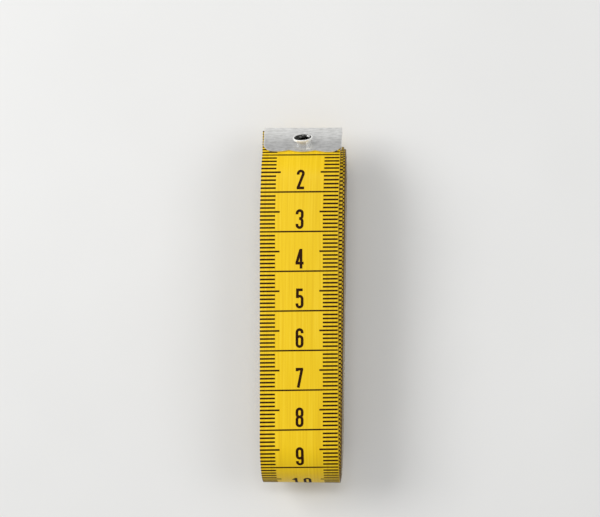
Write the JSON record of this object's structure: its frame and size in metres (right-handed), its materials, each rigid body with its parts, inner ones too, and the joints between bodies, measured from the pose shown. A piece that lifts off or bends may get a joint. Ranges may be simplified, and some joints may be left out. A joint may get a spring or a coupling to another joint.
{
  "type": "cloth tape measure",
  "caption": "Flexible sewing tape measure wound flat into an oblong roll, with printed centimetre and inch scales, folded metal tips with eyelets and a free end that lifts off the roll.",
  "frame": {"origin": "middle of the flat back run that the roll lies on, on the centre line of the front run", "axes": "+X across the tape, +Y up the roll towards the zero tip, +Z out of the printed front"},
  "size_m": [0.0216, 0.0919, 0.0221],
  "materials": {
    "coated_tape": "yellow coated glass-fibre cloth, satin, printed in black",
    "tip_metal": "plated sheet, finely brushed across the tip",
    "eyelet_metal": "bright plated tube, polished on the rolled collar"
  },
  "bodies": {
    "roll": {"tape_roll": "coated_tape", "far_tip": "tip_metal", "far_eyelet": "eyelet_metal"},
    "free_end": {"tape_free_end": "coated_tape", "zero_tip": "tip_metal", "zero_eyelet": "eyelet_metal"}
  },
  "joints": [
    {"name": "free_end_lift", "type": "hinge", "parent": "roll", "child": "free_end", "pos_m": [0, 0.00131, 0.02209], "axis": [1, 0, 0], "range_deg": [0, 60]}
  ]
}
